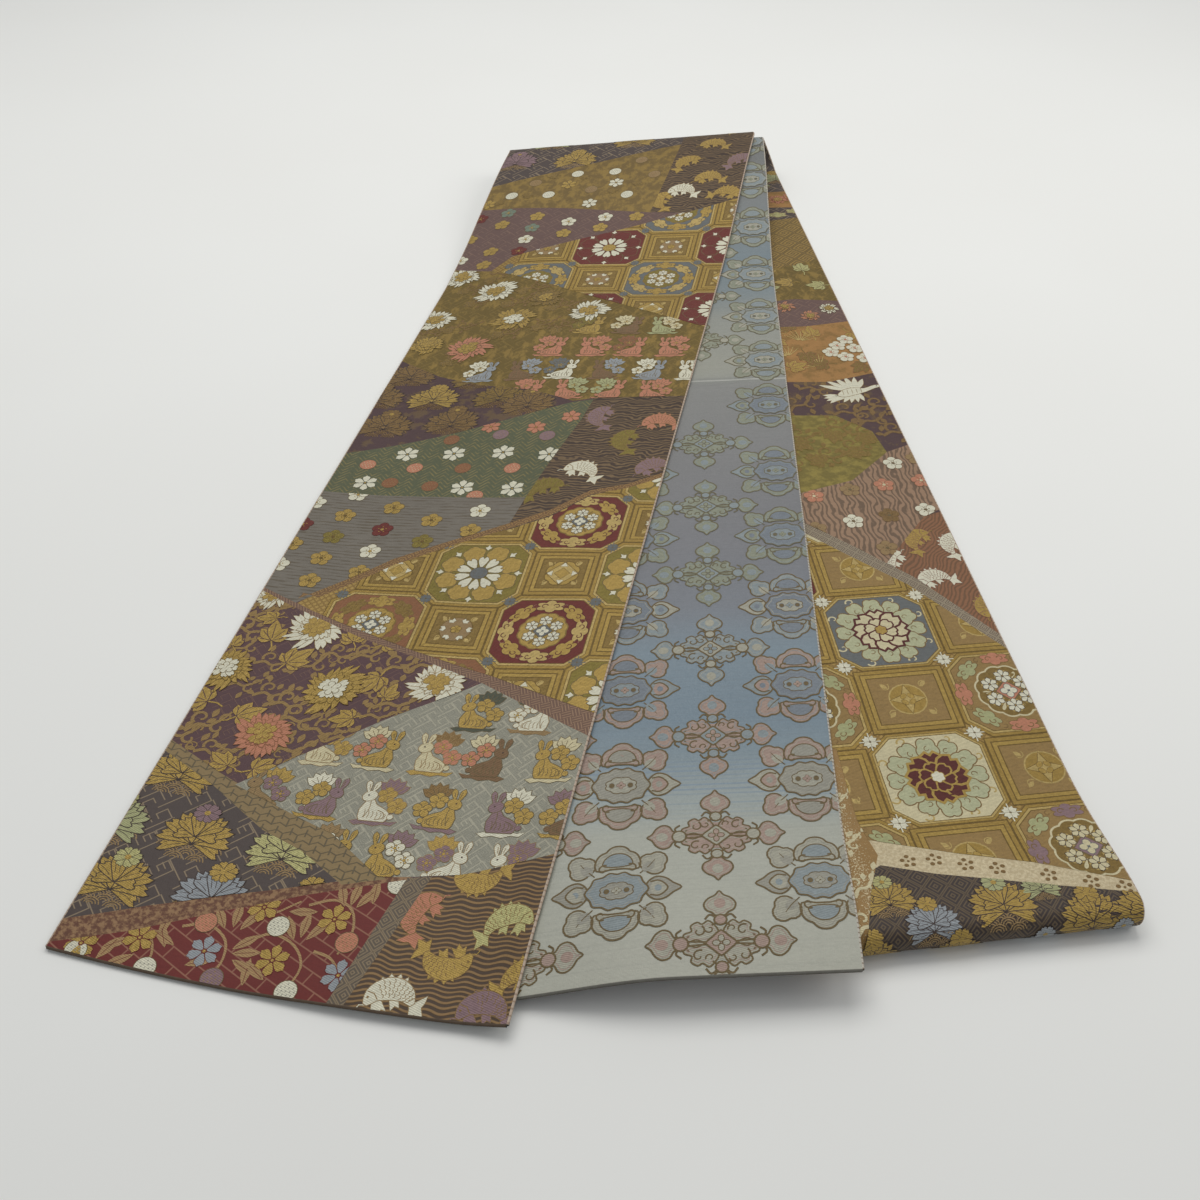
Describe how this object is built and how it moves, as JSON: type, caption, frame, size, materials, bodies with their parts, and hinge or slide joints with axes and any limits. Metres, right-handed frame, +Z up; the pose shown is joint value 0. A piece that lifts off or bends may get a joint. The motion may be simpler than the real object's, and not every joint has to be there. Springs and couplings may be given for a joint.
{
  "type": "folded obi sash",
  "caption": "Figured brocade obi sash with a patterned lining, folded in a fan of long flat stretches with soft rolled folds.",
  "frame": {"origin": "bottom centre of the folded sash's bounding box, on the surface it lies on", "axes": "+Y along the sash from its free near ends to the far folds, +X to the right seen from the near ends, +Z up"},
  "size_m": [0.7117, 1.2424, 0.0583],
  "materials": {
    "brocade": "silk jacquard brocade, gold, aubergine, grey and olive, soft satin sheen",
    "lining": "fine ribbed silk lining, blue, lavender and pale grey, soft sheen",
    "hidden_cloth": "brocade and lining seen only at the edges"
  },
  "bodies": {
    "root": {"left_stretch_brocade": "brocade", "left_stretch_lining": "lining", "middle_stretch_lining": "lining", "middle_stretch_brocade": "brocade", "right_stretch_brocade": "brocade", "right_stretch_lining": "lining", "bottom_stretch_hidden_layers": "hidden_cloth"}
  },
  "joints": []
}
